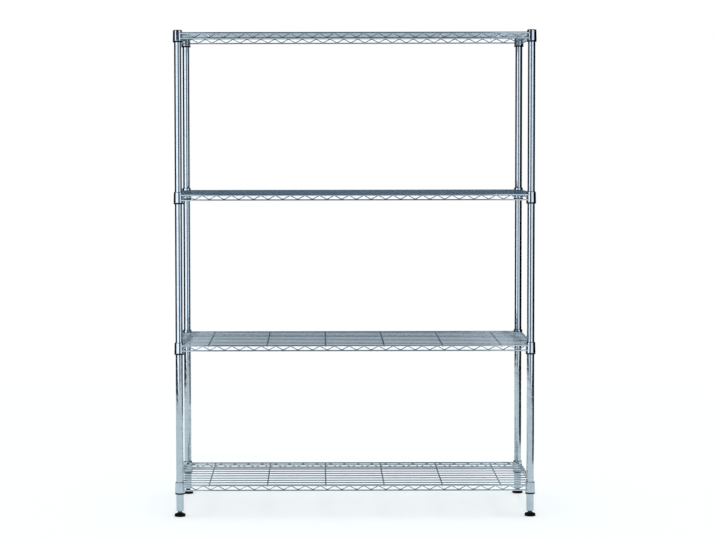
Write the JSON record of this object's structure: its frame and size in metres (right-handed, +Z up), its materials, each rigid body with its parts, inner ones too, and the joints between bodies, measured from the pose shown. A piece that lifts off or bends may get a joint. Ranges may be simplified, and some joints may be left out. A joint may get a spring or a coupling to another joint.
{
  "type": "wire shelving unit",
  "caption": "Free-standing chrome wire shelving unit: round posts, tapered split sleeves, lift-off wire shelves with zigzag truss edges, and screw-in levelling feet.",
  "frame": {"origin": "on the floor, midway between the four posts", "axes": "+Z up along the posts, +X to the right along the long side seen from the front, +Y to the rear"},
  "size_m": [0.9172, 0.3584, 1.2316],
  "materials": {
    "chrome": "bright chrome plate on steel",
    "zinc": "black zinc plate",
    "black_plastic": "moulded, satin"
  },
  "bodies": {
    "frame": {"post_front_left": "chrome", "post_cap_front_left": "chrome", "post_insert_front_left": "zinc", "post_front_right": "chrome", "post_cap_front_right": "chrome", "post_insert_front_right": "zinc", "post_rear_left": "chrome", "post_cap_rear_left": "chrome", "post_insert_rear_left": "zinc", "post_rear_right": "chrome", "post_cap_rear_right": "chrome", "post_insert_rear_right": "zinc", "bottom_shelf_sleeve_front_left": "black_plastic", "bottom_shelf_sleeve_front_right": "black_plastic", "bottom_shelf_sleeve_rear_left": "black_plastic", "bottom_shelf_sleeve_rear_right": "black_plastic", "lower_shelf_sleeve_front_left": "black_plastic", "lower_shelf_sleeve_front_right": "black_plastic", "lower_shelf_sleeve_rear_left": "black_plastic", "lower_shelf_sleeve_rear_right": "black_plastic", "upper_shelf_sleeve_front_left": "black_plastic", "upper_shelf_sleeve_front_right": "black_plastic", "upper_shelf_sleeve_rear_left": "black_plastic", "upper_shelf_sleeve_rear_right": "black_plastic", "top_shelf_sleeve_front_left": "black_plastic", "top_shelf_sleeve_front_right": "black_plastic", "top_shelf_sleeve_rear_left": "black_plastic", "top_shelf_sleeve_rear_right": "black_plastic"},
    "bottom_shelf": {"bottom_shelf_left_end": "chrome", "bottom_shelf_right_end": "chrome", "bottom_shelf_front_truss": "chrome", "bottom_shelf_rear_truss": "chrome", "bottom_shelf_deck": "chrome"},
    "lower_shelf": {"lower_shelf_left_end": "chrome", "lower_shelf_right_end": "chrome", "lower_shelf_front_truss": "chrome", "lower_shelf_rear_truss": "chrome", "lower_shelf_deck": "chrome"},
    "upper_shelf": {"upper_shelf_left_end": "chrome", "upper_shelf_right_end": "chrome", "upper_shelf_front_truss": "chrome", "upper_shelf_rear_truss": "chrome", "upper_shelf_deck": "chrome"},
    "top_shelf": {"top_shelf_left_end": "chrome", "top_shelf_right_end": "chrome", "top_shelf_front_truss": "chrome", "top_shelf_rear_truss": "chrome", "top_shelf_deck": "chrome"},
    "foot_pad_front_left": {"foot_pad_front_left": "black_plastic"},
    "foot_stud_front_left": {"foot_stud_front_left": "zinc"},
    "foot_pad_front_right": {"foot_pad_front_right": "black_plastic"},
    "foot_stud_front_right": {"foot_stud_front_right": "zinc"},
    "foot_pad_rear_left": {"foot_pad_rear_left": "black_plastic"},
    "foot_stud_rear_left": {"foot_stud_rear_left": "zinc"},
    "foot_pad_rear_right": {"foot_pad_rear_right": "black_plastic"},
    "foot_stud_rear_right": {"foot_stud_rear_right": "zinc"}
  },
  "joints": [
    {"name": "bottom_shelf_lift", "type": "slide", "parent": "frame", "child": "bottom_shelf", "axis": [0, 0, 1], "range_m": [0, 0.324]},
    {"name": "lower_shelf_lift", "type": "slide", "parent": "frame", "child": "lower_shelf", "axis": [0, 0, 1], "range_m": [0, 0.349]},
    {"name": "upper_shelf_lift", "type": "slide", "parent": "frame", "child": "upper_shelf", "axis": [0, 0, 1], "range_m": [0, 0.375]},
    {"name": "top_shelf_lift", "type": "slide", "parent": "frame", "child": "top_shelf", "axis": [0, 0, 1], "range_m": [0, 0.033]},
    {"name": "foot_travel_front_left", "type": "slide", "parent": "frame", "child": "foot_pad_front_left", "axis": [0, 0, -1], "range_m": [0, 0.012]},
    {"name": "foot_turn_front_left", "type": "hinge", "parent": "foot_pad_front_left", "child": "foot_stud_front_left", "pos_m": [-0.4445, -0.1651, 0.01], "axis": [0, 0, -1], "range_deg": [0, 3460]},
    {"name": "foot_travel_front_right", "type": "slide", "parent": "frame", "child": "foot_pad_front_right", "axis": [0, 0, -1], "range_m": [0, 0.012]},
    {"name": "foot_turn_front_right", "type": "hinge", "parent": "foot_pad_front_right", "child": "foot_stud_front_right", "pos_m": [0.4445, -0.1651, 0.01], "axis": [0, 0, -1], "range_deg": [0, 3460]},
    {"name": "foot_travel_rear_left", "type": "slide", "parent": "frame", "child": "foot_pad_rear_left", "axis": [0, 0, -1], "range_m": [0, 0.012]},
    {"name": "foot_turn_rear_left", "type": "hinge", "parent": "foot_pad_rear_left", "child": "foot_stud_rear_left", "pos_m": [-0.4445, 0.1651, 0.01], "axis": [0, 0, -1], "range_deg": [0, 3460]},
    {"name": "foot_travel_rear_right", "type": "slide", "parent": "frame", "child": "foot_pad_rear_right", "axis": [0, 0, -1], "range_m": [0, 0.012]},
    {"name": "foot_turn_rear_right", "type": "hinge", "parent": "foot_pad_rear_right", "child": "foot_stud_rear_right", "pos_m": [0.4445, 0.1651, 0.01], "axis": [0, 0, -1], "range_deg": [0, 3460]}
  ],
  "couplings": [
    {"joint": "foot_turn_front_left", "follows": "foot_travel_front_left", "rad_per_m": 5026.5},
    {"joint": "foot_turn_front_right", "follows": "foot_travel_front_right", "rad_per_m": 5026.5},
    {"joint": "foot_turn_rear_left", "follows": "foot_travel_rear_left", "rad_per_m": 5026.5},
    {"joint": "foot_turn_rear_right", "follows": "foot_travel_rear_right", "rad_per_m": 5026.5}
  ]
}
